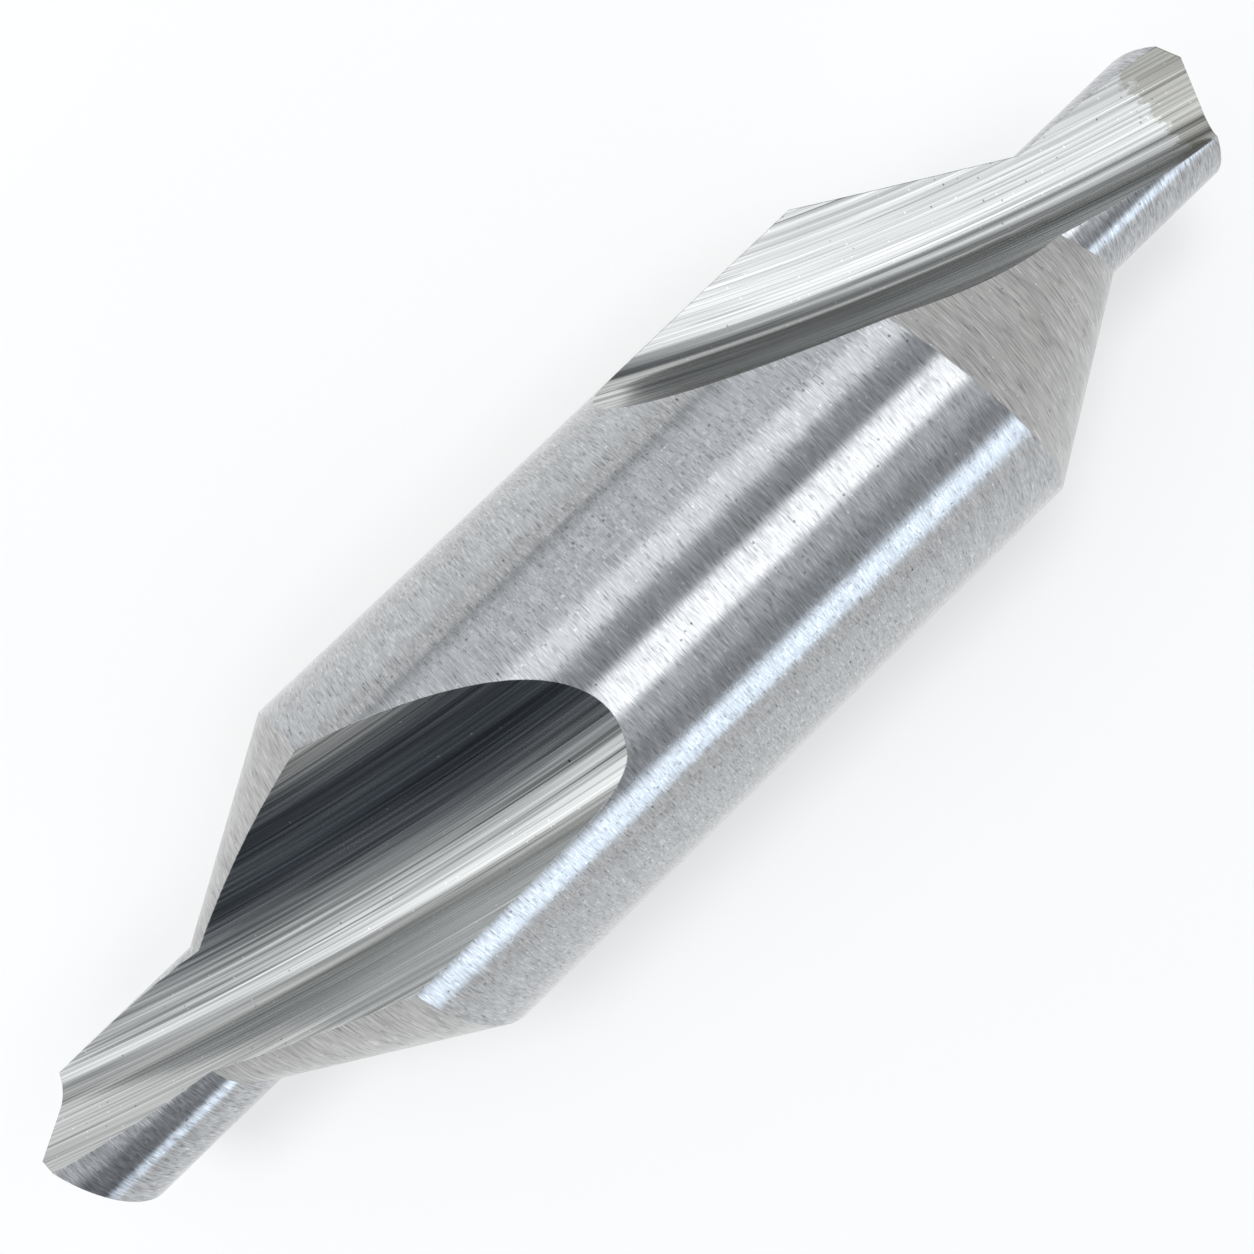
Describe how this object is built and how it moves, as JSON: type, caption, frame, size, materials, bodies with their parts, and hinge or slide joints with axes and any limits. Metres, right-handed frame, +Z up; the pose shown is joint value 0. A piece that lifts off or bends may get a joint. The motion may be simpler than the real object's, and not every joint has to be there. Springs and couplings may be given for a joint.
{
  "type": "centre drill",
  "caption": "Double ended centre drill: a short ground steel bar, each end cut to a sixty degree countersink with a stub drill point and slanting chip flutes.",
  "frame": {"origin": "middle of the body, on the drill's axis", "axes": "+X along the drill's axis towards one of its two like ends, +Z up and away from the surface it lies on"},
  "size_m": [0.078, 0.02, 0.02],
  "materials": {
    "ground_steel": "bright ground high speed steel"
  },
  "bodies": {
    "root": {"centre_drill": "ground_steel"}
  },
  "joints": []
}
